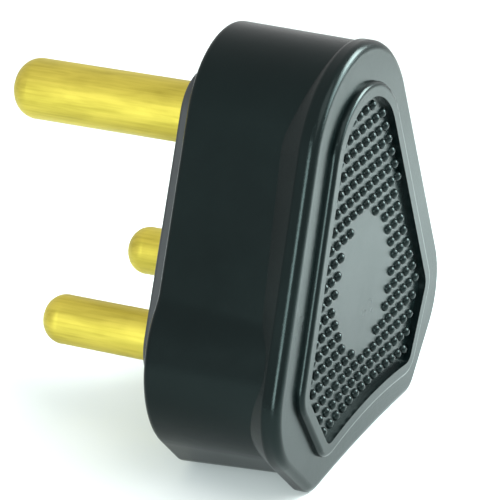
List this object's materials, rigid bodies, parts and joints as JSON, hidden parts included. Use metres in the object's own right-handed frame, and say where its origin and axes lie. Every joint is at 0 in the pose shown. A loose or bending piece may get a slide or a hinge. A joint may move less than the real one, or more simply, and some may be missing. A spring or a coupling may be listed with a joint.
{
  "type": "round-pin plug top",
  "caption": "Rewireable round-pin plug top: brass pins, tapered rubber cover with a flared gripping lip, and a bordered grip panel of small domes. Its cord is left out.",
  "frame": {"origin": "on the engagement face, midway between the two current pins", "axes": "+Y along the pins into the socket, +Z from the current pins towards the earth pin, X across the current pins"},
  "size_m": [0.0556, 0.0541, 0.0592],
  "materials": {
    "cover_rubber": "moulded black rubber with a soft sheen",
    "base_nylon": "moulded black nylon",
    "pin_brass": "turned bright brass with fine lengthwise rub marks",
    "inner_nylon": "moulded natural nylon",
    "screw_steel": "zinc plated",
    "terminal_brass": "machined brass"
  },
  "bodies": {
    "root": {"rubber_cover": "cover_rubber", "pin_base": "base_nylon", "earth_pin": "pin_brass", "live_pin": "pin_brass", "neutral_pin": "pin_brass", "pin_retainer": "inner_nylon", "retainer_screw_left": "screw_steel", "retainer_screw_right": "screw_steel", "earth_terminal_screw": "terminal_brass", "live_terminal_screw": "terminal_brass", "neutral_terminal_screw": "terminal_brass", "cord_clamp_bar": "inner_nylon", "cord_clamp_screw_left": "screw_steel", "cord_clamp_screw_right": "screw_steel", "cover_screw": "screw_steel", "cover_nut": "terminal_brass"}
  },
  "joints": []
}
